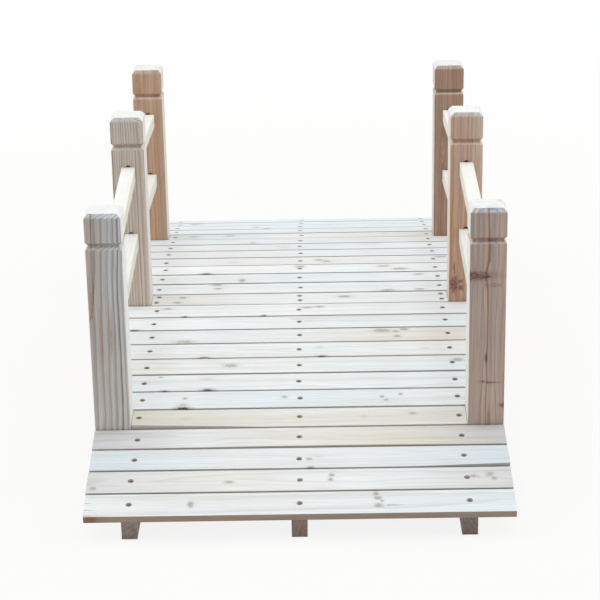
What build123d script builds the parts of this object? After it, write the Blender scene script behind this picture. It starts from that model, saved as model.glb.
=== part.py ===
from build123d import *
import os
from math import atan2, cos, degrees, sin, sqrt

# A low arched garden footbridge of planed fir: three arched stringers on the ground, slats laid across them,
# and a post-and-rail railing along each side. The origin is on the ground under the middle of the bridge.
# +X is to the right, +Y to the back along the walkway and +Z up. Lengths are in millimetres.

# Deck: slats that follow the arch, one at mid-span and the rest in two like halves. The deck's length is
# along its walking surface, and the radius is that surface's.
DECK_LENGTH = 1497.0
DECK_WIDTH = 680.0
DECK_RADIUS = 3260.0
SLATS_PER_HALF = 12
SLAT_GAP = 3.5
SLAT_THICKNESS = 12.5
SLAT_EASING = 1.5

# Stringers: each is two half arches butted at mid-span, with a level foot at its outer end
STRINGER_THICKNESS = 25.0
STRINGER_DEPTH = 62.0
STRINGER_END_HEIGHT = 31.0
STRINGER_SETBACK = 3.0
FOOT_LENGTH = 92.0

# Splices: a board across each butt joint, on the side face of the stringer
SPLICE_LENGTH = 240.0
SPLICE_THICKNESS = 20.0
SPLICE_MARGIN = 4.0

# Posts: square, plumb, of one length, flush with the ends of the slats. The end posts' slats are counted
# from mid-span.
POST_SECTION = 60.0
POST_LENGTH = 438.0
POST_EASING = 1.5
POST_CLEARANCE = 0.5
END_POST_SLAT = 8
HEAD_CHAMFER = 6.5
HEAD_FACE = 41.0
GROOVE_HEIGHT = 12.5
GROOVE_DEPTH = 6.0

# Rails: two to a bay, cut plumb where they butt against the posts
RAIL_WIDTH = 25.0
RAIL_DEPTH = 26.0
RAIL_EASING = 1.5
UPPER_RAIL_DROP = 92.0
LOWER_RAIL_DROP = 220.5

slat_count = 2 * SLATS_PER_HALF + 1
post_slats = (-END_POST_SLAT, 0, END_POST_SLAT)
post_pairs = len(post_slats)

# A plumb post between leaning slats takes up this much of the arc
post_lean = DECK_LENGTH / DECK_RADIUS * END_POST_SLAT / slat_count
post_room = (POST_SECTION + 2 * POST_CLEARANCE + SLAT_THICKNESS * sin(post_lean)) / cos(post_lean)

# The slats share the deck's length, less the gaps. Beside the posts the gaps widen as far as the posts need,
# and then the slats are a little narrower.
evenly_spaced = (DECK_LENGTH - (slat_count - 1) * SLAT_GAP) / slat_count
plain_gaps = slat_count - 1 - 2 * post_pairs
round_posts = (DECK_LENGTH - plain_gaps * SLAT_GAP - post_pairs * post_room) / (slat_count - post_pairs)
slat_width = min(evenly_spaced, round_posts)
post_gap = max(SLAT_GAP, (post_room - slat_width) / 2)

# Arc length from mid-span to the middle of each slat of one half
stations = [0.0]
for index in range(1, SLATS_PER_HALF + 1):
    beside_post = index in post_slats or index - 1 in post_slats
    stations.append(stations[-1] + slat_width + (post_gap if beside_post else SLAT_GAP))

# The stringers' upper edge lies under the slats, and ends just short of the last slat's lower corner
seat_radius = DECK_RADIUS - SLAT_THICKNESS
last_angle = stations[-1] / DECK_RADIUS
half_length = seat_radius * sin(last_angle) + slat_width / 2 * cos(last_angle) - STRINGER_SETBACK
arch_centre = STRINGER_END_HEIGHT - sqrt(seat_radius**2 - half_length**2)

# The underside is a flatter arc that springs from the inner ends of the two feet
foot_start = half_length - FOOT_LENGTH
under_rise = arch_centre + seat_radius - STRINGER_DEPTH
under_radius = (foot_start**2 + under_rise**2) / (2 * under_rise)

# Across the walkway: the posts' inner faces lie on the outer faces of the outer stringers
post_x = (DECK_WIDTH - POST_SECTION) / 2
stringer_face = post_x - POST_SECTION / 2
stringer_x = stringer_face - STRINGER_THICKNESS / 2


def seat_height(y):
    """Height of the stringers' upper edge at a distance from mid-span."""
    return arch_centre + sqrt(seat_radius**2 - y**2)


def underside_height(y):
    """Height of the stringers' lower edge at a distance from mid-span."""
    if abs(y) >= foot_start:
        return 0.0
    return under_rise - under_radius + sqrt(under_radius**2 - y**2)


def slat(station, length):
    """A slat with eased long edges, laid square to the arch at an arc length from mid-span."""
    board = Box(length, slat_width, SLAT_THICKNESS, align=(Align.CENTER, Align.CENTER, Align.MIN))
    board = fillet(board.edges().filter_by(Axis.X), SLAT_EASING)
    angle = station / DECK_RADIUS
    seat = Pos(0, seat_radius * sin(angle), arch_centre + seat_radius * cos(angle))
    return seat * Rot(X=-degrees(angle)) * board


def back_half_stringer():
    """The back half of a stringer, sawn to shape from one board and centred on X = 0."""
    mid_seat = (half_length / 2, seat_height(half_length / 2))
    mid_under = (foot_start / 2, underside_height(foot_start / 2))
    seat = ThreePointArc((0, seat_height(0)), mid_seat, (half_length, STRINGER_END_HEIGHT))
    end_cut = Line((half_length, STRINGER_END_HEIGHT), (half_length, 0))
    foot = Line((half_length, 0), (foot_start, 0))
    underside = ThreePointArc((foot_start, 0), mid_under, (0, under_rise))
    butt = Line((0, under_rise), (0, seat_height(0)))
    outline = make_face([seat, end_cut, foot, underside, butt])
    return extrude(Plane.YZ * outline, STRINGER_THICKNESS / 2, both=True)


def splice():
    """A straight board, centred on X = 0, that keeps clear of the slats and of the stringer's underside."""
    top = seat_height(SPLICE_LENGTH / 2) - SPLICE_MARGIN
    bottom = under_rise + SPLICE_MARGIN
    on_edge = (Align.CENTER, Align.CENTER, Align.MIN)
    return Pos(Z=bottom) * Box(SPLICE_THICKNESS, SPLICE_LENGTH, top - bottom, align=on_edge)


def post():
    """A post on the Z = 0 plane. The same silhouette seen from two sides mitres the groove and the top."""
    half = POST_SECTION / 2
    chamfer_start = POST_LENGTH - HEAD_CHAMFER
    groove_top = chamfer_start - HEAD_FACE
    edge = [
        (half, 0),
        (half, groove_top - GROOVE_HEIGHT),
        (half - GROOVE_DEPTH, groove_top - GROOVE_HEIGHT / 2),
        (half, groove_top),
        (half, chamfer_start),
        (half - HEAD_CHAMFER, POST_LENGTH),
    ]
    other_edge = [(-x, z) for x, z in reversed(edge)]
    silhouette = make_face(Polyline(*edge, *other_edge, close=True))
    front_view = extrude(Plane.XZ * silhouette, POST_SECTION, both=True)
    side_view = extrude(Plane.YZ * silhouette, POST_SECTION, both=True)
    planed = extrude(RectangleRounded(POST_SECTION, POST_SECTION, POST_EASING), POST_LENGTH)
    return front_view & side_view & planed


def back_rail(start, end):
    """A rail on X = 0 between two (y, z) points of its top line, with plumb ends and eased long edges."""
    slope = atan2(end[1] - start[1], end[0] - start[0])
    plumb_depth = RAIL_DEPTH / cos(slope)
    low_end = (end[0], end[1] - plumb_depth)
    low_start = (start[0], start[1] - plumb_depth)
    outline = make_face(Polyline(start, end, low_end, low_start, close=True))
    rail = extrude(Plane.YZ * outline, RAIL_WIDTH / 2, both=True)
    return fillet(rail.edges().group_by(SortBy.LENGTH)[-1], RAIL_EASING)


nodes = {}

# Stringers and the splices that join their halves. The outer splices are on the faces away from the posts.
half_arch = back_half_stringer()
splice_offset = (STRINGER_THICKNESS + SPLICE_THICKNESS) / 2
stringers = {"left": (-stringer_x, 1), "centre": (0.0, 1), "right": (stringer_x, -1)}
for side, (x, splice_side) in stringers.items():
    nodes[f"{side}_back_stringer"] = Pos(X=x) * half_arch
    nodes[f"{side}_front_stringer"] = Pos(X=x) * mirror(half_arch, Plane.XZ)
    nodes[f"{side}_splice"] = Pos(X=x + splice_side * splice_offset) * splice()

# Slats, numbered from the front. Those between two posts are cut short to fit.
short_length = 2 * (stringer_face - POST_CLEARANCE)
for index in range(-SLATS_PER_HALF, SLATS_PER_HALF + 1):
    length = short_length if index in post_slats else DECK_WIDTH
    station = stations[abs(index)] * (1 if index >= 0 else -1)
    nodes[f"slat_{index + SLATS_PER_HALF + 1:02d}"] = slat(station, length)

# Posts stand at the middle of the short slats, and end level with the stringers' underside
end_post_y = (seat_radius + SLAT_THICKNESS / 2) * sin(stations[END_POST_SLAT] / DECK_RADIUS)
post_places = {"front": -end_post_y, "middle": 0.0, "back": end_post_y}
for side, sign in {"left": -1, "right": 1}.items():
    for place, y in post_places.items():
        nodes[f"{place}_{side}_post"] = Pos(sign * post_x, y, underside_height(y)) * post()

# Rails run from the middle posts down to the end posts, at like distances under the tops of both
rail_drops = {"upper": UPPER_RAIL_DROP, "lower": LOWER_RAIL_DROP}
for level, drop in rail_drops.items():
    top = (POST_SECTION / 2, under_rise + POST_LENGTH - drop)
    bottom = (end_post_y - POST_SECTION / 2, underside_height(end_post_y) + POST_LENGTH - drop)
    rail = back_rail(top, bottom)
    for side, sign in {"left": -1, "right": 1}.items():
        nodes[f"{side}_back_{level}_rail"] = Pos(X=sign * post_x) * rail
        nodes[f"{side}_front_{level}_rail"] = Pos(X=sign * post_x) * mirror(rail, Plane.XZ)

os.makedirs("parts", exist_ok=True)
for name, solid in nodes.items():
    export_step(solid, f"parts/{name}.step")
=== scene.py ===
from math import atan2, cos, pi, radians, sin, sqrt

import bpy
import numpy as np
from mathutils import Matrix, Vector


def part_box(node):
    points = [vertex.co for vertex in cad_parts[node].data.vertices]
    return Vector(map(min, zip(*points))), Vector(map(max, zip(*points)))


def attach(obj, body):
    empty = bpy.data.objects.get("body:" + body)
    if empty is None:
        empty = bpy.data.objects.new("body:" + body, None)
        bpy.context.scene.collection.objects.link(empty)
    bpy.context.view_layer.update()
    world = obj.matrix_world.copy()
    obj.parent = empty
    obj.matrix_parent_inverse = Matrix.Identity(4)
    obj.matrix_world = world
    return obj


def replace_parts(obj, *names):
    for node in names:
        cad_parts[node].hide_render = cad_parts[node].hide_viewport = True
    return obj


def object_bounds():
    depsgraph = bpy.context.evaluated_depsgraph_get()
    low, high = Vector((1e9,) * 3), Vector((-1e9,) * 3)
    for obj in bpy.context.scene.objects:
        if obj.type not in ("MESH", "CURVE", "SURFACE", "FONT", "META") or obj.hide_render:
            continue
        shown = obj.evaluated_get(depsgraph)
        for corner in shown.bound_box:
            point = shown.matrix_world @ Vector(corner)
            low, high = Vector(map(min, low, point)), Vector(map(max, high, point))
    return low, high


# A low arched garden footbridge of planed, unpainted fir, in metres, with its origin on the ground under
# mid-span, +X to the right, +Y to the back along the walkway and +Z up.
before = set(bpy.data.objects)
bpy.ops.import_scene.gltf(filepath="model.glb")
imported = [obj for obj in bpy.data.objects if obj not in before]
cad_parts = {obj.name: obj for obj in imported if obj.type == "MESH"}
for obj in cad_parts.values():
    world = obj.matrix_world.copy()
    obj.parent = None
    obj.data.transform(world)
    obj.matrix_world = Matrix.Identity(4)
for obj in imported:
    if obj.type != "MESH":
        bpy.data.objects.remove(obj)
cad_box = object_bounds()


# Stringers: three arched boards on edge under the deck, each in two halves that butt at mid-span.
# Each half is sawn from one straight fir board, so its grain runs level while its edges curve, and it
# stands on a level foot at its outer end.
DECK_RADIUS = 3.260
STRINGER_DEPTH = 0.062
FOOT_LENGTH = 0.092
STRINGER_SIDES = ("left", "centre", "right")
STRINGER_EASING = 0.0008
STRINGER_STEP = 0.010
STRINGER_HEART = (-0.030, 0.045)
STRINGER_HEART_STEP = 0.02
STRINGER_LEAN = (0.01, 0.006)
STRINGER_END_RAWNESS = -0.75
STRINGER_SEED = 40
STRINGER_TONES = {"left": (212, 203, 200), "centre": (207, 189, 178), "right": (192, 178, 175)}

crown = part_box("slat_13")
slat_thickness = crown[1].z - crown[0].z
arch_centre = crown[1].z - DECK_RADIUS
seat_radius = DECK_RADIUS - slat_thickness
half_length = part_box("left_back_stringer")[1].y
foot_start = half_length - FOOT_LENGTH
under_rise = arch_centre + seat_radius - STRINGER_DEPTH
under_radius = (foot_start**2 + under_rise**2) / (2 * under_rise)


def seat_height(y):
    """Height of the stringers' upper edge at a distance from mid-span."""
    return arch_centre + sqrt(seat_radius**2 - y**2)


def underside_height(y):
    """Height of the stringers' lower edge at a distance from mid-span."""
    if abs(y) >= foot_start:
        return 0.0
    return under_rise - under_radius + sqrt(under_radius**2 - y**2)


def paint(red, green, blue, alpha=1.0):
    """A colour written as it shows, from 0 to 255, as the shaders take it."""
    shown = np.array((red, green, blue)) / 255
    light = np.where(shown <= 0.04045, shown / 12.92, ((shown + 0.055) / 1.055) ** 2.4)
    return (*light.tolist(), alpha)


class Finish:
    """A material and the shader nodes that it is built from. Most methods add a node and give its result."""

    def __init__(self, name):
        self.material = bpy.data.materials.new(name)
        self.material.use_nodes = True
        self.nodes = self.material.node_tree.nodes
        self.links = self.material.node_tree.links
        self.surface = self.nodes["Principled BSDF"]

    def set(self, socket, value):
        if isinstance(value, bpy.types.NodeSocket):
            self.links.new(value, socket)
        else:
            socket.default_value = value

    def add(self, kind, inputs, output=0, **settings):
        made = self.nodes.new("ShaderNode" + kind)
        for name, value in settings.items():
            setattr(made, name, value)
        for name, value in inputs.items():
            self.set(made.inputs[name], value)
        return made.outputs[output]

    def attribute(self, name, output="Color"):
        return self.add("Attribute", {}, output, attribute_name=name)

    def math(self, operation, first, second=0.0):
        return self.add("Math", {0: first, 1: second}, operation=operation)

    def stretch(self, vector, factors):
        return self.add("VectorMath", {0: vector, 1: factors}, operation="MULTIPLY")

    def length(self, vector):
        return self.add("VectorMath", {0: vector}, "Value", operation="LENGTH")

    def noise(self, vector, per_metre, detail=2.0):
        place = self.stretch(vector, per_metre)
        return self.add("TexNoise", {"Vector": place, "Scale": 1.0, "Detail": detail})

    def fade(self, value, start, end, low=0.0, high=1.0):
        """low up to start and high from end, with a soft step between."""
        inputs = {"Value": value, "From Min": start, "From Max": end, "To Min": low, "To Max": high}
        return self.add("MapRange", inputs, interpolation_type="SMOOTHSTEP")

    def mix(self, share, first, second, blend="MIX"):
        inputs = {0: share, 6: first, 7: second}
        return self.add("Mix", inputs, 2, data_type="RGBA", blend_type=blend)


# The pale tone that bleached faces go to: partly sun bleaching, partly painted light on faces turned to the
# lamps.
BLEACHED_AND_LIT_TONE = (246, 246, 243)
COOL_TINT = (196, 205, 218)
KNOT_RIM_TONE = (88, 64, 54)
GRAIN_DRIFT = 0.013
GRAIN_RIPPLE = 0.0020
GRAIN_RELIEF = 0.0005
KNOT_BULGE = 0.0026


def fir(name, ring_width, contrast, late_tint, warm_tint, warm_share, cool_share, raw_and_shade_tint, unevenness=2.2,
        seam_tint=None):
    """Planed fir. Growth rings stand round the log's heart, wander along it and flow round knots. Each board
    carries its own tone, its place in the log, its knots and how its faces have weathered, as attributes,
    where pale faces are partly painted light and raw faces are in places painted shade. A board with a dark
    seam along it also carries how far each place is from the seam, in half widths of it."""
    wood = Finish(name)
    grain = wood.attribute("grain", "Vector")
    knot = wood.attribute("knot", "Vector")
    weather = wood.attribute("weather", "Fac")
    rim_share = wood.attribute("knot_rim", "Fac")
    # Above zero a face turns pale, partly sun bleaching and partly painted light.
    bleach_and_light = wood.fade(weather, 0.0, 1.0)
    tone = wood.mix(bleach_and_light, wood.attribute("tone"), paint(*BLEACHED_AND_LIT_TONE))
    showing = wood.fade(bleach_and_light, 0.0, 1.0, 1.0, 0.30)
    strength = wood.math("MULTIPLY", wood.attribute("knot_shade", "Alpha"), showing)

    eye = wood.length(wood.stretch(knot, (1, 1, 0)))
    lumps = wood.add("TexNoise", {"Vector": knot, "Scale": 1.3, "Detail": 2.0}, "Color")
    lumps = wood.add("VectorMath", {0: lumps, 1: (0.5, 0.5, 0.5)}, operation="SUBTRACT")
    lumps = wood.add("VectorMath", {0: wood.stretch(lumps, (1.3, 1.3, 0)), 1: knot}, operation="ADD")
    knot_reach = wood.length(wood.stretch(lumps, (1, 1, 0)))

    drift = wood.math("SUBTRACT", wood.noise(grain, (2.2, 14, 14)), 0.5)
    ripple = wood.math("SUBTRACT", wood.noise(grain, (14, 70, 70)), 0.5)
    from_heart = wood.length(wood.stretch(grain, (0, 1, 1)))
    radius = wood.math("ADD", from_heart, wood.math("MULTIPLY", drift, GRAIN_DRIFT))
    radius = wood.math("ADD", radius, wood.math("MULTIPLY", ripple, GRAIN_RIPPLE))
    bulge = wood.math("MULTIPLY", wood.fade(eye, 3.0, 0.4), wood.fade(rim_share, 0.0, 0.15, 0.0, KNOT_BULGE))
    radius = wood.math("ADD", radius, wood.math("MULTIPLY", bulge, strength))
    seasons = wood.add("TexNoise", {"W": radius, "Scale": 120.0, "Detail": 1.0}, noise_dimensions="1D")
    ring = wood.math("DIVIDE", radius, ring_width)
    ring = wood.math("ADD", ring, wood.math("MULTIPLY", seasons, unevenness))
    phase = wood.math("FRACT", ring)
    vigour = wood.add("TexWhiteNoise", {"W": wood.math("FLOOR", ring)}, noise_dimensions="1D")
    late = wood.math("MULTIPLY", wood.fade(phase, 0.35, 0.92), wood.fade(phase, 1.0, 0.94))
    late = wood.math("MULTIPLY", late, wood.fade(vigour, 0.0, 1.0, 0.35, 1.0))

    fibre = wood.noise(grain, (18, 900, 900), 3.0)
    pores = wood.fade(wood.noise(grain, (70, 2600, 2600)), 0.62, 0.74)
    warm = wood.fade(wood.noise(grain, (1.5, 78, 78)), 0.48, 0.64)
    cool = wood.fade(wood.noise(grain, (1.1, 131, 131)), 0.48, 0.64)

    veil = wood.mix(wood.math("MULTIPLY", warm, warm_share), (1, 1, 1, 1), warm_tint, "MULTIPLY")
    veil = wood.mix(wood.math("MULTIPLY", cool, cool_share), veil, paint(*COOL_TINT), "MULTIPLY")
    veil = wood.mix(wood.math("MULTIPLY", late, contrast), veil, late_tint, "MULTIPLY")
    veil = wood.mix(wood.fade(fibre, 0.30, 0.72, 0.26, 0.0), veil, late_tint, "MULTIPLY")
    veil = wood.mix(wood.math("MULTIPLY", pores, 0.22), veil, late_tint, "MULTIPLY")
    if seam_tint:
        off_seam = wood.length(wood.attribute("off_seam", "Vector"))
        off_seam = wood.math("ADD", off_seam, wood.math("MULTIPLY", ripple, 1.5))
        veil = wood.mix(wood.fade(off_seam, 1.8, 0.2), veil, seam_tint, "MULTIPLY")
    colour = wood.mix(showing, tone, veil, "MULTIPLY")

    shade = wood.attribute("knot_shade")
    halo = wood.math("MULTIPLY", wood.fade(knot_reach, 2.6, 0.8, 0.0, 0.32), strength)
    mottle = wood.add("TexNoise", {"Vector": knot, "Scale": 3.6, "Detail": 3.0})
    core = wood.math("MULTIPLY", wood.fade(knot_reach, 1.2, 0.6), wood.fade(mottle, 0.38, 0.60, 0.35, 1.0))
    core = wood.math("MULTIPLY", core, strength)
    whorl = wood.fade(wood.math("SINE", wood.math("MULTIPLY", knot_reach, 15.0)), -1.0, 1.0, 0.0, 0.45)
    rim = wood.math("MULTIPLY", wood.fade(knot_reach, 0.55, 0.95), wood.fade(knot_reach, 1.35, 1.0))
    rim = wood.math("MULTIPLY", rim, wood.fade(mottle, 0.40, 0.58, 0.25, 1.0))
    rim = wood.math("MAXIMUM", rim, wood.fade(knot_reach, 0.5, 0.2, 0.0, 0.8))
    rim = wood.math("MULTIPLY", wood.math("MULTIPLY", rim, rim_share), strength)
    colour = wood.mix(halo, colour, shade, "MULTIPLY")
    colour = wood.mix(core, colour, wood.mix(whorl, shade, late_tint, "MULTIPLY"))
    colour = wood.mix(rim, colour, paint(*KNOT_RIM_TONE))

    # Below zero a face takes the raw tint: raw end grain, and painted shade in the slats' gaps and the posts'
    # grooves.
    colour = wood.mix(wood.fade(weather, 0.0, -1.0), colour, raw_and_shade_tint, "MULTIPLY")
    relief = wood.math("SUBTRACT", fibre, wood.math("MULTIPLY", late, 0.5))
    bump = wood.add("Bump", {"Strength": 0.35, "Distance": GRAIN_RELIEF, "Height": relief})
    wood.set(wood.surface.inputs["Base Color"], colour)
    wood.set(wood.surface.inputs["Roughness"], wood.fade(fibre, 0.25, 0.75, 0.74, 0.56))
    wood.set(wood.surface.inputs["Normal"], bump)
    wood.set(wood.surface.inputs["Specular IOR Level"], 0.3)
    return wood.material


def eased_rectangle(width, height, easing, splits, facets=4):
    """Points round a rectangle with eased corners. splits gives how many parts its sides are in."""
    arcs = []
    for number, (side, level) in enumerate(((1, -1), (1, 1), (-1, 1), (-1, -1))):
        turn = radians(90) * (number - 1) + np.linspace(0, radians(90), facets + 1)
        middle = (side * (width / 2 - easing), level * (height / 2 - easing))
        arcs.append(np.array(middle) + easing * np.column_stack((np.cos(turn), np.sin(turn))))
    points = []
    for number, arc in enumerate(arcs):
        parts = splits[1] if number % 2 == 0 else splits[0]
        side = np.linspace(arc[-1], arcs[(number + 1) % 4][0], parts + 1)[1:-1]
        points.extend((*arc, *side))
    return np.array(points)


def skin(rings):
    """Corners and faces of a solid skinned through rings of points, with a face across each end."""
    count, size = rings.shape[:2]
    faces = [tuple(range(size))[::-1], tuple(range((count - 1) * size, count * size))]
    for start in range(0, (count - 1) * size, size):
        for here in range(size):
            ahead = (here + 1) % size
            faces.append((start + here, start + ahead, start + size + ahead, start + size + here))
    return rings.reshape(-1, 3), faces


def make_mesh(name, shapes):
    """One mesh of several shapes, each given as its corners and faces."""
    corners, faces = [], []
    for shape_corners, shape_faces in shapes:
        first = len(corners)
        corners.extend(np.asarray(shape_corners).tolist())
        faces.extend([first + corner for corner in face] for face in shape_faces)
    mesh = bpy.data.meshes.new(name)
    mesh.from_pydata(corners, [], faces)
    return mesh


def cut(mesh, cutters):
    """The mesh with the cutters' shapes taken out of it."""
    whole = bpy.data.objects.new("whole", mesh)
    tool = bpy.data.objects.new("tool", make_mesh("tool", cutters))
    for thing in (whole, tool):
        bpy.context.collection.objects.link(thing)
    boolean = whole.modifiers.new("cut", "BOOLEAN")
    boolean.operation = "DIFFERENCE"
    boolean.solver = "EXACT"
    boolean.object = tool
    result = bpy.data.meshes.new_from_object(whole.evaluated_get(bpy.context.evaluated_depsgraph_get()))
    for thing in (whole, tool):
        bpy.data.objects.remove(thing)
    return result


KNOT_SHADES = {
    "pale": paint(212, 200, 186, 0.45),
    "tan": paint(180, 164, 142, 0.80),
    "grey": paint(154, 150, 146, 0.78),
    "red": paint(132, 84, 70, 0.90),
    "brown": paint(150, 128, 108, 0.70),
    "plum": paint(172, 152, 164, 0.60),
    "dark": paint(74, 56, 52, 0.92),
    # chip_shadow is painted shade inside the chips at the slats' front edges.
    "chip_shadow": paint(58, 46, 40, 1.50),
    "stain": paint(198, 164, 144, 0.85),
    "blush": paint(206, 182, 164, 0.60),
}
NO_KNOT = (9.0, 9.0, 0.0)
LOG_SPACING = 3.7
KNOT_SPACING = 2.3
CREASE_ANGLE = radians(40)


def write(mesh, name, kind, domain, field, values):
    """Keeps values on the mesh as a named attribute."""
    attribute = mesh.attributes.new(name, kind, domain)
    attribute.data.foreach_set(field, np.asarray(values, np.float32).ravel())


def read(items, field, size, kind=float):
    """One field of a mesh's items, as an array."""
    values = np.empty(len(items) * size, kind)
    items.foreach_get(field, values)
    return values.reshape(-1, size) if size > 1 else values


def dress(mesh, tones, heart, seed, lean=(0.0, 0.0), knots=(), ends=(-1.0, -1.0), edges=0.0, ring_scale=1.0,
          knot_depth=1.0):
    """Writes what the fir finish reads. The mesh is still in the board's own axes: X along the grain, Y
    across the board and Z through it. heart is where the log's heart is, across and through, and lean how it
    strays along the board. tones run from one end to the other. A knot is its place along and across, its
    half sizes, shade and rim, and it fades out at knot_depth from the lowest face through the board. ends
    and edges say how far those faces are made pale, by bleaching and painted light, or raw when below zero,
    which on some faces is painted shade."""
    corners = read(mesh.vertices, "co", 3)
    along = corners[:, 0]
    from_heart = (corners[:, 1:] - np.array(heart) - along[:, None] * np.array(lean)) * ring_scale
    in_log = np.column_stack((along + LOG_SPACING * seed, from_heart))
    write(mesh, "grain", "FLOAT_VECTOR", "POINT", "vector", in_log)
    share = (along - along.min()) / np.ptp(along)
    stops = np.linspace(0, 1, len(tones))
    painted = np.array([paint(*tone) for tone in tones])
    tone = np.column_stack([np.interp(share, stops, painted[:, channel]) for channel in range(4)])
    write(mesh, "tone", "FLOAT_COLOR", "POINT", "color", tone)
    ahead, aside = read(mesh.polygons, "normal", 3)[:, :2].T
    # Paleness or rawness by which way each face looks: weathering, with painted light and painted shade.
    weather = np.where(ahead > 0, ends[1], ends[0]) * ahead**4 + edges * aside**2
    sides = read(mesh.polygons, "loop_total", 1, int)
    write(mesh, "weather", "FLOAT", "CORNER", "value", np.repeat(weather, sides))
    place = np.tile(NO_KNOT, (len(mesh.loops), 1))
    shade = np.ones((len(mesh.loops), 4))
    rim = np.zeros(len(mesh.loops))
    if knots:
        middle = np.array([knot[:2] for knot in knots])
        half = np.array([knot[2:4] for knot in knots])
        offsets = (read(mesh.polygons, "center", 3)[:, None, :2] - middle) / half
        nearest = np.linalg.norm(offsets, axis=2).argmin(1)
        nearest = np.repeat(nearest, sides)
        at = corners[read(mesh.loops, "vertex_index", 1, int)]
        place[:, :2] = (at[:, :2] - middle[nearest]) / half[nearest]
        place[:, 2] = KNOT_SPACING * (nearest + seed)
        shade = np.array([KNOT_SHADES[knot[4]] for knot in knots])[nearest]
        shade[:, 3] *= np.clip(1 - (at[:, 2] - at[:, 2].min()) / knot_depth, 0, 1)
        rim = np.array([knot[5] for knot in knots])[nearest]
    write(mesh, "knot", "FLOAT_VECTOR", "CORNER", "vector", place)
    write(mesh, "knot_shade", "FLOAT_COLOR", "CORNER", "color", shade)
    write(mesh, "knot_rim", "FLOAT", "CORNER", "value", rim)


def show(mesh, name, finish):
    """Puts a finished mesh into the scene as a piece of the bridge."""
    mesh.materials.clear()
    mesh.materials.append(finish)
    mesh.shade_smooth()
    mesh.set_sharp_from_angle(angle=CREASE_ANGLE)
    piece = bpy.data.objects.new(name, mesh)
    bpy.context.collection.objects.link(piece)
    piece.modifiers.new("flat faces", "WEIGHTED_NORMAL").keep_sharp = True
    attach(piece, "root")
    return piece


def show_board(node, mesh, to_world, finish):
    """Moves a dressed board from its own axes to its place, where it stands for its node."""
    placed = to_world(read(mesh.vertices, "co", 3))
    mesh.vertices.foreach_set("co", np.asarray(placed, np.float32).ravel())
    mesh.update()
    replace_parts(show(mesh, node + "_wood", finish), node)


def ring_at(along, section, rise=0.0):
    """One ring of a board's mesh: the board's section at a place along it, raised by rise."""
    return np.column_stack((np.full(len(section), along), section[:, 0] + rise, section[:, 1]))


def on_edge(at, middle):
    """Stands points in a board's own axes on edge along the bridge, about a middle."""
    return at[:, [2, 0, 1]] + np.array(middle)


stringer_fir = fir("stringer_fir", ring_width=0.0042, contrast=0.75, late_tint=paint(190, 160, 138),
                   warm_tint=paint(224, 200, 182), warm_share=0.5, cool_share=0.15,
                   raw_and_shade_tint=paint(176, 172, 171))
stringer_names = [f"{side}_{end}_stringer" for side in STRINGER_SIDES for end in ("front", "back")]
for number, node in enumerate(stringer_names):
    low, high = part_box(node)
    thickness = high.x - low.x
    stations = np.arange(0, half_length, STRINGER_STEP)
    stations = np.unique(np.append(stations, (foot_start, half_length)))
    stations = stations if high.y > half_length / 2 else -stations[::-1]
    rings = []
    for y in stations:
        bottom, top = underside_height(y), seat_height(y)
        section = eased_rectangle(top - bottom, thickness, STRINGER_EASING, splits=(6, 2))
        rings.append(ring_at(y, section, (top + bottom) / 2))
    mesh = make_mesh(node, [skin(np.array(rings))])
    tone = STRINGER_TONES[node.split("_")[0]]
    heart = (STRINGER_HEART[0] + STRINGER_HEART_STEP * number, STRINGER_HEART[1])
    ends = (STRINGER_END_RAWNESS, STRINGER_END_RAWNESS)
    dress(mesh, [tone], heart, STRINGER_SEED + number, STRINGER_LEAN, ends=ends)
    middle_x = (low.x + high.x) / 2
    show_board(node, mesh, lambda at: on_edge(at, (middle_x, 0, 0)), stringer_fir)


# Splices: a short straight board across each butt joint of the stringers, screwed to their side faces.
# Plain planed fir like the stringers, cut square and slightly eased.
SPLICE_EASING = 0.0012
SPLICE_RINGS = 25
SPLICE_TONE = (205, 186, 168)
SPLICE_HEART = (0.015, -0.05)
SPLICE_LEAN = (0.03, 0.01)
SPLICE_SEED = 50

for number, side in enumerate(STRINGER_SIDES):
    node = side + "_splice"
    low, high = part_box(node)
    size, middle = high - low, (low + high) / 2
    section = eased_rectangle(size.z, size.x, SPLICE_EASING, splits=(5, 2))
    rings = [ring_at(y, section) for y in np.linspace(-size.y / 2, size.y / 2, SPLICE_RINGS)]
    mesh = make_mesh(node, [skin(np.array(rings))])
    dress(mesh, [SPLICE_TONE], SPLICE_HEART, SPLICE_SEED + number, SPLICE_LEAN)
    show_board(node, mesh, lambda at: on_edge(at, middle), stringer_fir)


# Posts: square planed fir, flush with the slats' ends and bolted to the outer stringers. Each has a V-groove
# round its head and a chamfered top, and a hole bored in each face that takes a rail, whose top shows.
HEAD_CHAMFER = 0.0065
HEAD_FACE = 0.041
GROOVE_HEIGHT = 0.0125
GROOVE_DEPTH = 0.006
# Painted light and shade in the V-groove, from its bottom to its top: the lower face made pale as painted
# light, the valley and upper face made raw brown, partly painted shade under the head.
GROOVE_LIGHT_AND_SHADE = [(0.0, 0.30), (0.24, 0.55), (0.38, 0.10), (0.50, -0.45), (0.80, -0.55), (1.0, -0.30)]
POST_EASING = 0.0018
POST_SOFTENING = 0.0016
POST_STEP = 0.003
UPPER_RAIL_DROP = 0.092
LOWER_RAIL_DROP = 0.2205
BORE_RADIUS = 0.0055
BORE_SINK = 0.0022
BORE_DEPTH = 0.014
BORE_TWIST = radians(9)
CUT_OVERRUN = 0.001
POST_LEAN = (0.004, -0.003)
POST_FOOT_RAWNESS = -3.0
# Painted light: each post's two side faces are made paler than its front and back, most on the front posts.
POST_SIDE_PAINTED_LIGHT = {"front": 0.8, "middle": 0.6, "back": 0.6}


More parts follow.
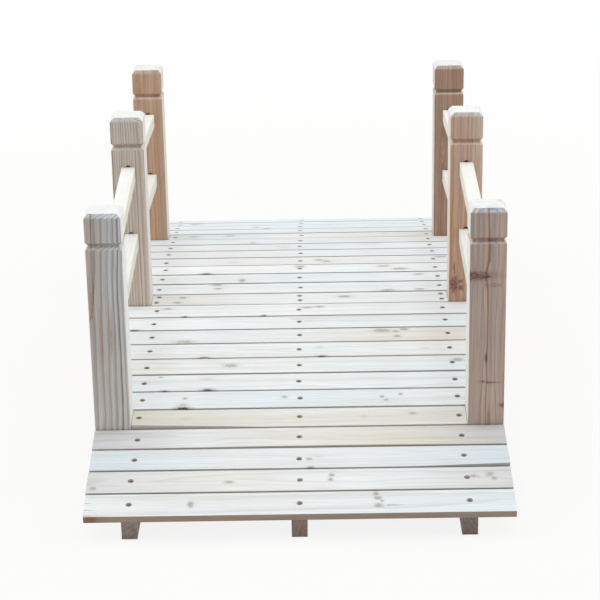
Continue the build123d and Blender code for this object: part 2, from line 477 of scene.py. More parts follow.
def soften(outline, reach):
    """An open outline with each corner between two runs rounded off, starting at reach from the corner."""
    outline = np.array(outline)
    points = [outline[0]]
    for before, corner, after in zip(outline, outline[1:], outline[2:]):
        into, out = before - corner, after - corner
        into *= min(reach, np.linalg.norm(into) / 2) / np.linalg.norm(into)
        out *= min(reach, np.linalg.norm(out) / 2) / np.linalg.norm(out)
        points.extend(corner + into * (1 - t) ** 2 + out * t**2 for t in (0.0, 0.25, 0.5, 0.75, 1.0))
    return [*points, outline[-1]]


def turned(profile, at, across=(1, 0, 0), up=(0, 0, 1), sides=20):
    """A solid turned about a line through a point. The profile's points are a radius and a height along up,
    and its first and last lie on the line."""
    across, up, at = (np.array(vector, float) for vector in (across, up, at))
    aside = np.cross(up, across)
    corners = [at + up * profile[0][1]]
    turn = np.linspace(0, 2 * pi, sides, endpoint=False)
    for radius, height in profile[1:-1]:
        circle = np.outer(np.cos(turn), across) + np.outer(np.sin(turn), aside)
        corners.extend(at + up * height + radius * circle)
    corners.append(at + up * profile[-1][1])
    last = len(corners) - 1
    levels = len(profile) - 2
    faces = []
    for here in range(sides):
        ahead = (here + 1) % sides
        faces.append((0, 1 + here, 1 + ahead))
        faces.append((last, last - sides + ahead, last - sides + here))
        for level in range(levels - 1):
            first = 1 + level * sides
            faces.append((first + here, first + sides + here, first + sides + ahead, first + ahead))
    return corners, faces


POST_TONES = {
    "front_left": [(232, 227, 222), (212, 213, 212), (206, 208, 210)],
    "front_right": [(209, 187, 171), (195, 176, 166), (197, 180, 170)],
    "middle_left": [(231, 215, 200), (218, 208, 199)],
    "middle_right": [(214, 179, 155), (216, 182, 158), (218, 200, 187)],
    "back_left": [(211, 178, 150), (208, 176, 153)],
    "back_right": [(182, 151, 132), (179, 149, 132)],
}
POST_HEARTS = {
    "front_left": (-0.038, 0.060),
    "front_right": (0.004, -0.040),
    "middle_left": (0.050, 0.075),
    "middle_right": (-0.075, 0.010),
    "back_left": (0.090, 0.012),
    "back_right": (-0.060, -0.015),
}
SEAMS = {
    "front_left": [
        (0.256, -0.0290, 0.0001),
        (0.258, -0.0282, 0.0009),
        (0.268, -0.0249, 0.0011),
        (0.283, -0.0220, 0.0011),
        (0.302, -0.0203, 0.0012),
        (0.316, -0.0200, 0.0012),
        (0.332, -0.0210, 0.0012),
        (0.354, -0.0214, 0.0012),
        (0.377, -0.0203, 0.0012),
        (0.438, -0.0182, 0.0012),
    ],
    "front_right": [
        (0.060, -0.0006, 0.0010),
        (0.105, -0.0008, 0.0009),
        (0.131, -0.0006, 0.0013),
        (0.139, 0.0010, 0.0016),
        (0.156, -0.0004, 0.0010),
        (0.180, -0.0012, 0.0015),
        (0.200, 0.0002, 0.0010),
        (0.260, 0.0006, 0.0011),
        (0.300, 0.0000, 0.0013),
        (0.316, -0.0024, 0.0013),
        (0.328, -0.0036, 0.0012),
        (0.340, -0.0014, 0.0014),
        (0.350, 0.0012, 0.0022),
        (0.376, 0.0020, 0.0024),
        (0.395, 0.0012, 0.0019),
        (0.438, -0.0004, 0.0020),
    ],
}
NO_SEAM = (0.0, 1.0, 0.001)
POST_RING_SCALES = {
    "front_left": 1.0,
    "front_right": 0.60,
    "middle_left": 1.75,
    "middle_right": 0.62,
    "back_left": 0.55,
    "back_right": 0.70,
}
POST_KNOTS = {
    "front_left": [
        (0.400, -0.0300, 0.150, 0.0110, "blush", 0.0),
        (0.287, -0.0238, 0.027, 0.0044, "stain", 0.0),
        (0.228, -0.0122, 0.030, 0.0030, "stain", 0.0),
        (0.228, 0.0050, 0.030, 0.0024, "stain", 0.0),
    ],
    "front_right": [
        (0.3245, -0.031, 0.0058, 0.029, "red", 0.9),
        (0.309, 0.010, 0.0022, 0.009, "stain", 0.4),
        (0.181, -0.0012, 0.006, 0.0016, "dark", 0.0),
        (0.138, 0.006, 0.0013, 0.010, "red", 0.0),
        (0.140, -0.006, 0.0013, 0.004, "red", 0.0),
        (0.097, 0.027, 0.003, 0.004, "red", 0.3),
    ],
    "middle_left": [],
    "middle_right": [
        (0.1065, -0.0205, 0.0125, 0.0072, "red", 0.5),
        (0.131, -0.0205, 0.019, 0.0016, "red", 0.0),
        (0.101, -0.0085, 0.0042, 0.0040, "red", 0.4),
        (0.114, -0.0095, 0.0028, 0.0042, "red", 0.2),
    ],
    "back_left": [(0.400, -0.020, 0.016, 0.005, "stain", 0.0)],
    "back_right": [(0.260, -0.012, 0.030, 0.004, "stain", 0.0)],
}
KNOT_DEPTH = 0.016
# Tones of the posts' top chamfers: partly their own weathered grey, partly painted light of the sky above,
# cool on the front and middle posts.
CHAMFER_SKYLIT_TONES = {
    "front_left": (207, 217, 224),
    "front_right": (198, 202, 208),
    "middle_left": (204, 202, 201),
    "middle_right": (202, 203, 210),
    "back_left": (184, 168, 152),
    "back_right": (176, 167, 156),
}
CHAMFER_ASIDE_SHARE = 0.5
# Post tops and the chamfer's side faces are made pale: partly sun bleaching, partly painted light.
TOP_BLEACH_AND_LIGHT = 0.70
# Raw tint of the posts: raw end grain at the foot, and painted shade in the groove.
POST_RAW_AND_SHADE_TINT = paint(200, 160, 120)

even_fir = fir("even_post_fir", ring_width=0.0042, contrast=1.0, late_tint=paint(162, 156, 152),
               warm_tint=paint(236, 214, 196), warm_share=0.30, cool_share=0.12, raw_and_shade_tint=POST_RAW_AND_SHADE_TINT,
               unevenness=0.35, seam_tint=paint(190, 180, 172))
broad_fir = fir("broad_post_fir", ring_width=0.0042, contrast=0.50, late_tint=paint(186, 166, 152),
                warm_tint=paint(238, 202, 178), warm_share=0.50, cool_share=0.30, raw_and_shade_tint=POST_RAW_AND_SHADE_TINT)
hearted_fir = fir("hearted_post_fir", ring_width=0.0042, contrast=0.5, late_tint=paint(182, 164, 152),
                  warm_tint=paint(232, 194, 170), warm_share=0.80, cool_share=0.70, raw_and_shade_tint=POST_RAW_AND_SHADE_TINT,
                  seam_tint=paint(200, 180, 168))
post_finishes = {"front_left": even_fir, "front_right": hearted_fir, "middle_left": even_fir}
bore = [(0, CUT_OVERRUN), (BORE_RADIUS, CUT_OVERRUN), (BORE_RADIUS, -BORE_DEPTH), (0, -BORE_DEPTH)]
for number, (place, tones) in enumerate(POST_TONES.items()):
    node = place + "_post"
    low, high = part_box(node)
    section, length = high.x - low.x, high.z - low.z
    half = section / 2
    head_bottom = length - HEAD_CHAMFER - HEAD_FACE
    outline = soften([
        (0, 0),
        (head_bottom - GROOVE_HEIGHT, 0),
        (head_bottom - GROOVE_HEIGHT / 2, GROOVE_DEPTH),
        (head_bottom, 0),
        (length - HEAD_CHAMFER, 0),
        (length, HEAD_CHAMFER),
    ], POST_SOFTENING)
    levels = [outline[0]]
    for point in outline[1:]:
        parts = int(np.ceil((point[0] - levels[-1][0]) / POST_STEP))
        levels.extend(np.linspace(levels[-1], point, parts + 1)[1:])
    rings = []
    for height, inset in levels:
        square = eased_rectangle(section - 2 * inset, section - 2 * inset, POST_EASING, splits=(8, 8))
        rings.append(ring_at(height, square))
    mesh = make_mesh(node, [skin(np.array(rings))])
    bores = []
    for drop in (UPPER_RAIL_DROP, LOWER_RAIL_DROP):
        for face in (-1, 1):
            if not node.startswith("front" if face < 0 else "back"):
                at = (length - drop - BORE_SINK, 0, face * half)
                bores.append(turned(bore, at, (cos(BORE_TWIST), sin(BORE_TWIST), 0), (0, 0, face)))
    mesh = cut(mesh, bores)
    ends = (POST_FOOT_RAWNESS, TOP_BLEACH_AND_LIGHT)
    edges = POST_SIDE_PAINTED_LIGHT[place.split("_")[0]]
    dress(mesh, tones, POST_HEARTS[place], number, POST_LEAN, POST_KNOTS[place], ends, edges,
          POST_RING_SCALES[place], KNOT_DEPTH)
    along, across, through = read(mesh.vertices, "co", 3).T
    on_chamfer = along > length - HEAD_CHAMFER
    tone = mesh.attributes["tone"].data
    # Painted skylight: the chamfer takes its own cooler tone.
    skylit_tone = np.where(on_chamfer[:, None], paint(*CHAMFER_SKYLIT_TONES[place]), read(tone, "color", 4))
    tone.foreach_set("color", skylit_tone.astype(np.float32).ravel())
    corner = read(mesh.loops, "vertex_index", 1, int)
    aside = np.repeat(read(mesh.polygons, "normal", 3)[:, 1], read(mesh.polygons, "loop_total", 1, int))
    # In the groove the weathering is replaced by its painted light and shade.
    up_groove = 1 + (along[corner] - head_bottom) / GROOVE_HEIGHT
    groove_light_and_shade = np.interp(up_groove, *np.transpose(GROOVE_LIGHT_AND_SHADE))
    weather = mesh.attributes["weather"].data
    lit_and_weathered = np.where((up_groove > 0) & (up_groove < 1), groove_light_and_shade, read(weather, "value", 1))
    # The chamfer's side faces take the tops' paleness as painted light.
    lit_and_weathered[on_chamfer[corner] & (np.abs(aside) > CHAMFER_ASIDE_SHARE)] = TOP_BLEACH_AND_LIGHT
    weather.foreach_set("value", lit_and_weathered.astype(np.float32))
    seam = np.array(SEAMS.get(place, [NO_SEAM]))
    line, half_width = (np.interp(along, seam[:, 0], seam[:, column]) for column in (1, 2))
    behind = np.clip(through + half - GROOVE_DEPTH, 0, None)
    off_seam = np.column_stack((across - line, behind, np.zeros(len(line)))) / half_width[:, None]
    write(mesh, "off_seam", "FLOAT_VECTOR", "POINT", "vector", off_seam)
    finish = post_finishes.get(place, broad_fir)
    foot = np.array(((low.x + high.x) / 2, (low.y + high.y) / 2, low.z))
    show_board(node, mesh, lambda at: foot + at[:, [1, 2, 0]], finish)


# Rails: two to a bay on each side, square fir bars with eased edges. They run from the middle posts down to
# the end posts, cut plumb and butted against them with a thin open joint.
RAIL_DEPTH = 0.026
RAIL_EASING = 0.0017
RAIL_JOINT = 0.0007
RAIL_STEP = 0.010
RAIL_TONES = [(234, 234, 225), (236, 236, 231)]
# Painted light: the rails' top and under faces are made paler than their sides.
RAIL_EDGE_PAINTED_LIGHT = 0.55
RAIL_HEART_RISE = 0.05
RAIL_HEART_ASIDE = 0.03
RAIL_HEART_STEP = 0.01
RAIL_LEAN = 0.01
RAIL_SEED = 20

rail_fir = fir("rail_fir", ring_width=0.0038, contrast=0.35, late_tint=paint(216, 200, 176),
               warm_tint=paint(248, 238, 218), warm_share=0.4, cool_share=0.05, raw_and_shade_tint=paint(190, 174, 156))
rail_names = [f"{side}_{end}_{level}_rail" for side in ("left", "right") for end in ("front", "back")
              for level in ("upper", "lower")]
for number, node in enumerate(rail_names):
    side, end, level = node.split("_")[:3]
    low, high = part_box(node)
    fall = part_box(f"middle_{side}_post")[1].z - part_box(f"{end}_{side}_post")[1].z
    run = high.y - low.y
    slope = atan2(fall, run) * (1 if end == "front" else -1)
    gradient = sin(slope) / cos(slope)
    plumb = RAIL_DEPTH / cos(slope)
    section = eased_rectangle(plumb, high.x - low.x, RAIL_EASING, splits=(4, 4))
    start_top = low.z + plumb if end == "front" else high.z
    rings = []
    for y in np.linspace(low.y + RAIL_JOINT, high.y - RAIL_JOINT, int(run / RAIL_STEP)):
        rings.append(ring_at(y, section, start_top + (y - low.y) * gradient - plumb / 2))
    mesh = make_mesh(node, [skin(np.array(rings))])
    middle_x, middle_z = (low.x + high.x) / 2, (low.z + high.z) / 2
    heart = (middle_z + RAIL_HEART_RISE * (-1) ** number, RAIL_HEART_ASIDE + RAIL_HEART_STEP * number)
    dress(mesh, RAIL_TONES, heart, RAIL_SEED + number, (gradient, RAIL_LEAN), edges=RAIL_EDGE_PAINTED_LIGHT)
    show_board(node, mesh, lambda at: on_edge(at, (middle_x, 0, 0)), rail_fir)


# Slats: thin fir boards laid across the arch, sun-bleached on top, with eased long edges and sawn ends.
# Each is screwed to the three stringers through countersunk holes, and some are warped, short or a little
# askew.
SLAT_COUNT = 25
CROWN_SLAT = 13
SLAT_EASING = 0.0010
SLAT_END_EASING = 0.0004
SLAT_STEP = 0.010
SLAT_TRIM = 0.0028
SLAT_NARROWING = 0.0007
SLAT_THINNING = (0.0001, 0.0008)
SLAT_SKEW = 0.0009
SLAT_HEART_ASIDE = 0.06
SLAT_HEART_DEPTHS = (0.035, 0.11)
SLAT_LEANS = (0.03, 0.012)
SLAT_SEED = 60
SCREW_HEAD_RADIUS = 0.0046
SCREW_SINK = 0.0007
SCREW_SCATTER = (0.0010, 0.0016)
CROWN_SCREW_OFFSET = 0.014
COUNTERSINK_MOUTH = 0.0005
COUNTERSINK_SEAT = 0.0004
PILOT_RADIUS = 0.0022
PILOT_DEPTH = 0.0034
CHIP_SIZE = (0.008, 0.0035, 0.003)
CHECK_WIDTH = 0.0010
CHECK_DEPTH = 0.005
CHECK_LENGTHS = (0.012, 0.026)
CHECK_TIP_SHARE = 0.05
TONES = {
    "frost": (244, 248, 252),
    "white": (236, 240, 243),
    "cool": (230, 238, 244),
    "sky": (217, 228, 236),
    "cream": (235, 235, 233),
    "honey": (229, 226, 216),
    "blush": (228, 222, 215),
    "grey": (218, 219, 220),
    "ash": (206, 206, 207),
}
SLAT_TONES = {
    1: ("white", "white", "cool"),
    2: ("grey", "cream", "white", "grey"),
    3: ("sky", "white", "white", "sky"),
    4: ("ash", "white", "cream", "honey", "ash"),
    5: ("honey", "cream", "cream"),
    6: ("white", "cool", "white"),
    9: ("white", "white", "cream"),
    10: ("white", "white", "blush"),
    11: ("frost", "white", "cool"),
    12: ("frost", "frost", "white"),
    13: ("cream", "white", "frost"),
    14: ("white", "white", "cool"),
    16: ("frost", "frost", "white"),
    22: ("white", "cool", "white"),
    23: ("cool", "cool", "cool"),
    24: ("cool", "cool", "cool"),
    25: ("cool", "cool", "cool"),
}
# Marks on the slats: place along and across, half sizes, shade and rim. Those at a slat's front edge over a
# chip, on slats 6, 7 and 9, are painted shade in the chip.
SLAT_KNOTS = {
    1: [
        (-0.332, -0.0285, 0.014, 0.003, "stain", 0.0),
        (-0.171, 0.000, 0.004, 0.006, "grey", 0.3),
        (0.1215, 0.021, 0.0035, 0.0038, "tan", 0.5),
        (0.1240, 0.010, 0.0045, 0.0040, "grey", 0.4),
        (0.1300, 0.002, 0.0030, 0.0024, "grey", 0.3),
        (0.1245, -0.009, 0.0050, 0.0050, "tan", 0.2),
        (0.142, -0.0085, 0.014, 0.0009, "red", 0.0),
    ],
    2: [
        (-0.112, -0.003, 0.006, 0.003, "tan", 0.2),
        (-0.329, -0.015, 0.004, 0.003, "tan", 0.3),
        (0.052, 0.011, 0.003, 0.003, "grey", 0.2),
        (0.050, 0.000, 0.003, 0.003, "grey", 0.2),
        (0.279, 0.003, 0.004, 0.003, "grey", 0.2),
        (0.305, 0.008, 0.004, 0.004, "tan", 0.3),
        (0.311, -0.003, 0.004, 0.003, "tan", 0.3),
    ],
    3: [
        (0.018, -0.027, 0.005, 0.003, "brown", 0.2),
        (0.016, -0.004, 0.004, 0.003, "grey", 0.2),
        (0.031, 0.002, 0.008, 0.003, "pale", 0.0),
    ],
    5: [
        (0.190, 0.007, 0.005, 0.003, "tan", 0.2),
        (0.108, 0.000, 0.006, 0.003, "pale", 0.0),
        (-0.190, -0.004, 0.008, 0.003, "pale", 0.0),
    ],
    6: [
        (-0.195, 0.005, 0.003, 0.003, "grey", 0.2),
        (-0.197, -0.018, 0.007, 0.007, "plum", 0.0),
        (-0.197, -0.028, 0.010, 0.004, "chip_shadow", 0.0),
        (-0.025, 0.006, 0.004, 0.003, "grey", 0.3),
        (0.141, 0.002, 0.003, 0.003, "grey", 0.4),
        (0.147, -0.008, 0.003, 0.003, "grey", 0.3),
        (0.173, 0.010, 0.003, 0.003, "grey", 0.4),
    ],
    7: [
        (-0.241, 0.021, 0.003, 0.002, "grey", 0.3),
        (-0.232, -0.028, 0.005, 0.002, "dark", 0.0),
        (-0.157, -0.028, 0.008, 0.004, "chip_shadow", 0.0),
        (-0.160, 0.012, 0.009, 0.004, "pale", 0.0),
    ],
    8: [
        (-0.121, 0.000, 0.010, 0.005, "tan", 0.3),
        (0.279, 0.011, 0.008, 0.005, "grey", 0.3),
    ],
    9: [
        (-0.168, -0.028, 0.009, 0.003, "dark", 0.0),
        (0.036, 0.008, 0.006, 0.004, "pale", 0.2),
        (0.040, -0.028, 0.007, 0.003, "dark", 0.0),
        (0.224, -0.003, 0.007, 0.004, "pale", 0.2),
    ],
    10: [
        (-0.208, -0.021, 0.014, 0.006, "tan", 0.0),
        (0.150, 0.016, 0.012, 0.006, "tan", 0.4),
        (0.175, 0.012, 0.005, 0.004, "tan", 0.4),
        (0.190, 0.020, 0.006, 0.004, "grey", 0.4),
        (0.176, -0.010, 0.005, 0.004, "tan", 0.4),
    ],
    11: [(-0.301, -0.028, 0.009, 0.003, "dark", 0.0)],
    12: [
        (-0.213, -0.028, 0.005, 0.003, "dark", 0.0),
        (-0.066, -0.028, 0.005, 0.003, "dark", 0.0),
        (-0.247, 0.012, 0.006, 0.003, "tan", 0.4),
        (0.014, 0.009, 0.010, 0.004, "tan", 0.4),
        (0.036, 0.012, 0.008, 0.004, "tan", 0.3),
    ],
    13: [
        (-0.222, 0.012, 0.006, 0.004, "grey", 0.4),
        (-0.231, -0.015, 0.006, 0.004, "grey", 0.3),
        (0.085, 0.006, 0.010, 0.005, "grey", 0.4),
    ],
    14: [
        (-0.160, 0.022, 0.008, 0.004, "tan", 0.5),
        (-0.157, 0.001, 0.006, 0.004, "tan", 0.5),
        (0.167, -0.022, 0.012, 0.004, "tan", 0.5),
        (0.229, -0.019, 0.008, 0.004, "tan", 0.5),
    ],
    15: [
        (-0.112, -0.012, 0.005, 0.009, "tan", 0.5),
        (0.231, 0.011, 0.008, 0.004, "tan", 0.3),
    ],
    16: [
        (-0.185, -0.027, 0.010, 0.005, "dark", 0.0),
        (0.000, 0.014, 0.009, 0.006, "tan", 0.4),
        (0.197, -0.010, 0.012, 0.006, "tan", 0.5),
        (0.165, 0.010, 0.010, 0.005, "tan", 0.4),
    ],
    17: [
        (-0.132, -0.006, 0.009, 0.006, "pale", 0.0),
        (0.038, 0.003, 0.007, 0.005, "tan", 0.4),
        (0.053, -0.007, 0.007, 0.005, "grey", 0.4),
        (0.283, 0.014, 0.010, 0.005, "grey", 0.3),
    ],
    21: [(-0.227, 0.003, 0.008, 0.005, "grey", 0.3)],
}
SLAT_LIFTS = {
    3: [(0.18, 0.0), (0.34, 0.0045)],
    4: [(-0.30, 0.0), (-0.05, 0.0015), (0.12, 0.0015), (0.28, 0.0)],
    5: [(-0.28, 0.0068), (-0.06, 0.0)],
}
FLAT = [(0.0, 0.0)]
# The slats' long edges take the raw tint: partly their unbleached sawn colour, partly painted shade in the
# gaps between slats, darker towards the back of the deck.
SLAT_EDGE_SHADES = {1: -1.0, 3: -0.45, 4: -0.35, 5: -0.30}
EDGE_RAW_SHADE = -0.35
EDGE_SHADE_STEP = 0.02
FAR_EDGE_SHADE_STEP = 0.15
SLAT_TRIMS = {1: (0.0012, 0.0), 2: (0.0, 0.0), 3: (0.0006, 0.0), 4: (0.0, 0.0)}
# Chips at the slats' front edges, shaded inside by painted shade from the marks above.
SLAT_CHIPS = {6: -0.197, 7: -0.157, 9: -0.168}
SLAT_CHECKS = {1: (0.006, -0.011), 2: (-0.004,), 9: (0.010,), 17: (-0.008,), 24: (0.004,)}
SPARE_TONES = ("white", "white", "cream", "cool")
SPARE_KNOTS_FROM = 18
SPARE_KNOTS_MOST = 2
SPARE_KNOT_SIZES = (0.003, 0.007)
SPARE_KNOT_STRETCH = 1.5
SPARE_KNOT_REACH = (0.25, 0.022)
SPARE_KNOT_SHADES = ("tan", "grey", "pale")
SPARE_KNOT_RIM = 0.3

slat_fir = fir("slat_fir", ring_width=0.0036, contrast=0.26, late_tint=paint(208, 194, 178),
               warm_tint=paint(246, 240, 230), warm_share=0.5, cool_share=0.08, raw_and_shade_tint=paint(181, 160, 143))
countersink = [
    (0, CUT_OVERRUN),
    (SCREW_HEAD_RADIUS + COUNTERSINK_MOUTH, CUT_OVERRUN),
    (SCREW_HEAD_RADIUS + COUNTERSINK_SEAT, -SCREW_SINK),
    (PILOT_RADIUS, -PILOT_DEPTH),
    (0, -PILOT_DEPTH),
]
ball = [(sin(turn), cos(turn)) for turn in np.linspace(0, pi, 9)]
ball_corners, ball_faces = turned(ball, (0, 0, 0), sides=12)
half_check = CHECK_WIDTH / 2
check_mouth = np.array([
    (-CUT_OVERRUN, -half_check, -CHECK_DEPTH),
    (-CUT_OVERRUN, half_check, -CHECK_DEPTH),
    (-CUT_OVERRUN, half_check, CUT_OVERRUN),
    (-CUT_OVERRUN, -half_check, CUT_OVERRUN),
])
slat_width = crown[1].y - crown[0].y
stringer_rows = []
for side in STRINGER_SIDES:
    low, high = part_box(f"{side}_front_stringer")
    stringer_rows.append((low.x + high.x) / 2)
screw_rows = [[], [], []]
for number in range(1, SLAT_COUNT + 1):
    node = f"slat_{number:02d}"
    chance = np.random.default_rng(number)
    low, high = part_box(node)
    middle = np.array((low + high) / 2)
    tilt = atan2(middle[1], middle[2] - arch_centre)
    back, up = np.array((0, cos(tilt), -sin(tilt))), np.array((0, sin(tilt), cos(tilt)))
    short = high.x < cad_box[1].x - SLAT_TRIM
    trims = SLAT_TRIMS.get(number, SLAT_TRIM * chance.random(2)) if not short else (0.0, 0.0)
    left, right = low.x + trims[0], high.x - trims[1]
    thin = chance.uniform(*SLAT_THINNING)
    top = slat_thickness / 2 - thin
    section = eased_rectangle(slat_width - SLAT_NARROWING, slat_thickness - thin, SLAT_EASING, splits=(8, 2))
    section -= (0, thin / 2)
    stations = np.linspace(left, right, int((right - left) / SLAT_STEP) + 1)
    eased_ends = (left + SLAT_END_EASING, right - SLAT_END_EASING)
    stations = np.insert(stations, (1, len(stations) - 1), eased_ends)
    rings = [ring_at(x, section) for x in stations]
    for ring in (rings[0], rings[-1]):
        ring[:, 1:] -= SLAT_END_EASING * np.sign(ring[:, 1:])
    mesh = make_mesh(node, [skin(np.array(rings))])

    cutters, spots = [], []
    offsets = (-CROWN_SCREW_OFFSET, CROWN_SCREW_OFFSET) if number == CROWN_SLAT else (0.0,)
    for row, x in enumerate(stringer_rows):
        for offset in offsets:
            spot = np.array((x, offset)) + chance.normal(0, SCREW_SCATTER)
            spots.append((row, spot))
            cutters.append(turned(countersink, (*spot, top)))
    if number in SLAT_CHIPS:
        chip = np.array(ball_corners) * CHIP_SIZE + (SLAT_CHIPS[number], -slat_width / 2, top)
        cutters.append((chip, ball_faces))
    for across in SLAT_CHECKS.get(number, ()):
        check_tip = check_mouth * (0, CHECK_TIP_SHARE, 1) + (chance.uniform(*CHECK_LENGTHS), 0, 0)
        cutters.append(skin(np.array([check_mouth, check_tip]) + (left, across, top)))
    mesh = cut(mesh, cutters)

    tones = SLAT_TONES.get(number) or chance.choice(SPARE_TONES, 3)
    knots = list(SLAT_KNOTS.get(number, ()))
    for _ in range(chance.integers(0, SPARE_KNOTS_MOST + 1) if number >= SPARE_KNOTS_FROM else 0):
        size = chance.uniform(*SPARE_KNOT_SIZES)
        spot = [chance.uniform(-reach, reach) for reach in SPARE_KNOT_REACH]
        shade = SPARE_KNOT_SHADES[chance.integers(len(SPARE_KNOT_SHADES))]
        knots.append((*spot, size * SPARE_KNOT_STRETCH, size, shade, SPARE_KNOT_RIM))
    heart = (chance.uniform(-SLAT_HEART_ASIDE, SLAT_HEART_ASIDE), -chance.uniform(*SLAT_HEART_DEPTHS))
    lean = [chance.uniform(-most, most) for most in SLAT_LEANS]
    # Painted shade in the gaps, growing towards the back of the deck.
    edge_shade = EDGE_RAW_SHADE - EDGE_SHADE_STEP * number - FAR_EDGE_SHADE_STEP * max(number - CROWN_SLAT, 0)
    edges = SLAT_EDGE_SHADES.get(number, edge_shade)
    dress(mesh, [TONES[tone] for tone in tones], heart, SLAT_SEED + number, lean, knots, edges=edges)

    lifts = np.transpose(SLAT_LIFTS.get(number, FLAT))
    skew = 0.0 if short else chance.normal(0, SLAT_SKEW)

    def lay(at):
        """Lays a slat, or points on it, on the arch, with its warp and skew."""
        along, across, through = at.T
        front = np.clip(0.5 - across / slat_width, 0, 1)
        through = through + front * np.interp(along, *lifts)
        across = across + skew * along
        return middle + np.outer(along, (1, 0, 0)) + np.outer(across, back) + np.outer(through, up)

    show_board(node, mesh, lay, slat_fir)
    for row, spot in spots:
        at = lay(np.array([(*spot, top - SCREW_SINK)]))[0]
        screw_rows[row].append((at, tilt, chance.uniform(0, 2 * pi)))


# Slat screws: cross-head countersunk screws of yellowed zinc, one through each slat into each stringer, and
# two where the middle slat lies over the stringers' butt joints. Their heads lie just below the bleached
# wood.
SCREW_RIM = 0.0003
SCREW_NECK_RADIUS = 0.0020
SCREW_HEAD_DEPTH = 0.0026
RECESS_LENGTH = 0.0042
RECESS_WIDTH = 0.0010
RECESS_DEPTH = 0.0013
RECESS_BLOCK_HEIGHT = 0.002


def box_shape(size, at):
    """Corners and faces of a plain block, used as a cutter."""
    signs = np.array([(x, y, z) for x in (-1, 1) for y in (-1, 1) for z in (-1, 1)])
    faces = [(0, 1, 3, 2), (4, 6, 7, 5), (0, 4, 5, 1), (2, 3, 7, 6), (0, 2, 6, 4), (1, 5, 7, 3)]
    return np.array(at) + signs * np.array(size) / 2, faces


def scatter(name, template, places):
    """One mesh of many copies of a template, each at its own 4 by 4 place."""
    corners = np.column_stack((read(template.vertices, "co", 3), np.ones(len(template.vertices))))
    faces = [tuple(face.vertices) for face in template.polygons]
    return make_mesh(name, [((corners @ np.array(place).T)[:, :3], faces) for place in places])


def metal(name, bright, dull, tarnished):
    """Plated steel, dulled in patches and brushed by handling, and here and there more tarnished."""
    plate = Finish(name)
    position = plate.add("NewGeometry", {}, "Position")
    patch = plate.noise(position, (420, 420, 420), 4.0)
    colour = plate.mix(plate.fade(patch, 0.38, 0.66), bright, dull)
    tarnish = plate.fade(plate.noise(position, (11, 11, 11)), 0.42, 0.58, 0.0, 0.8)
    plate.set(plate.surface.inputs["Base Color"], plate.mix(tarnish, colour, tarnished))
    plate.set(plate.surface.inputs["Roughness"], plate.fade(patch, 0.3, 0.7, 0.34, 0.62))
    plate.set(plate.surface.inputs["Metallic"], 0.75)
    return plate.material


head = [
    (0, 0),
    (SCREW_HEAD_RADIUS - SCREW_RIM, 0),
    (SCREW_HEAD_RADIUS, -SCREW_RIM),
    (SCREW_NECK_RADIUS, -SCREW_HEAD_DEPTH),
    (0, -SCREW_HEAD_DEPTH),
]
recess_at = (0, 0, RECESS_BLOCK_HEIGHT / 2 - RECESS_DEPTH)
screw_head = make_mesh("screw_head", [turned(head, (0, 0, 0), sides=24)])
for arm in ((RECESS_LENGTH, RECESS_WIDTH), (RECESS_WIDTH, RECESS_LENGTH)):
    screw_head = cut(screw_head, [box_shape((*arm, RECESS_BLOCK_HEIGHT), recess_at)])
yellow_zinc = metal("yellow_zinc", paint(174, 148, 120), paint(110, 92, 78), paint(118, 114, 114))
for row, side in zip(screw_rows, STRINGER_SIDES):
    places = [Matrix.Translation(at) @ Matrix.Rotation(-tilt, 4, "X") @ Matrix.Rotation(turn, 4, "Z")
              for at, tilt, turn in row]
    show(scatter(f"{side}_slat_screws", screw_head, places), f"{side}_slat_screws", yellow_zinc)


# Splice screws: four of the same cross-head screws in each splice, two into each half of the stringer. They
# are driven almost flush from the splice's open face, at two heights.
SPLICE_SCREW_PLACES = (-0.085, -0.032, 0.032, 0.085)
SPLICE_SCREW_RISE = 0.012
SPLICE_SCREW_STANDING = 0.0002

standing = Matrix.Translation((0, 0, SPLICE_SCREW_STANDING))
places = []
for side, face in (("left", 1), ("centre", 1), ("right", -1)):
    low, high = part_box(side + "_splice")
    turn = Matrix.Rotation(radians(90) * face, 4, "Y")
    for number, y in enumerate(SPLICE_SCREW_PLACES):
        level = (low.z + high.z) / 2 + (SPLICE_SCREW_RISE if number % 2 else -SPLICE_SCREW_RISE)
        at = (high.x if face > 0 else low.x, y, level)
        places.append(Matrix.Translation(at) @ turn @ standing)
show(scatter("splice_screws", screw_head, places), "splice_screws", yellow_zinc)


# Post bolts: two hexagon-head coach screws with washers through the outer stringers into each post, and at
# mid-span through the splice as well. Zinc-plated steel, seen only from under the deck.
BOLT_ACROSS_CORNERS = 0.0150
BOLT_HEAD_HEIGHT = 0.0053
WASHER_RADIUS = 0.0085
WASHER_THICKNESS = 0.0015
BOLT_CHAMFER = 0.0008
BOLT_CHAMFER_SHARE = 0.86
BOLT_SHARES = (0.30, 0.72)

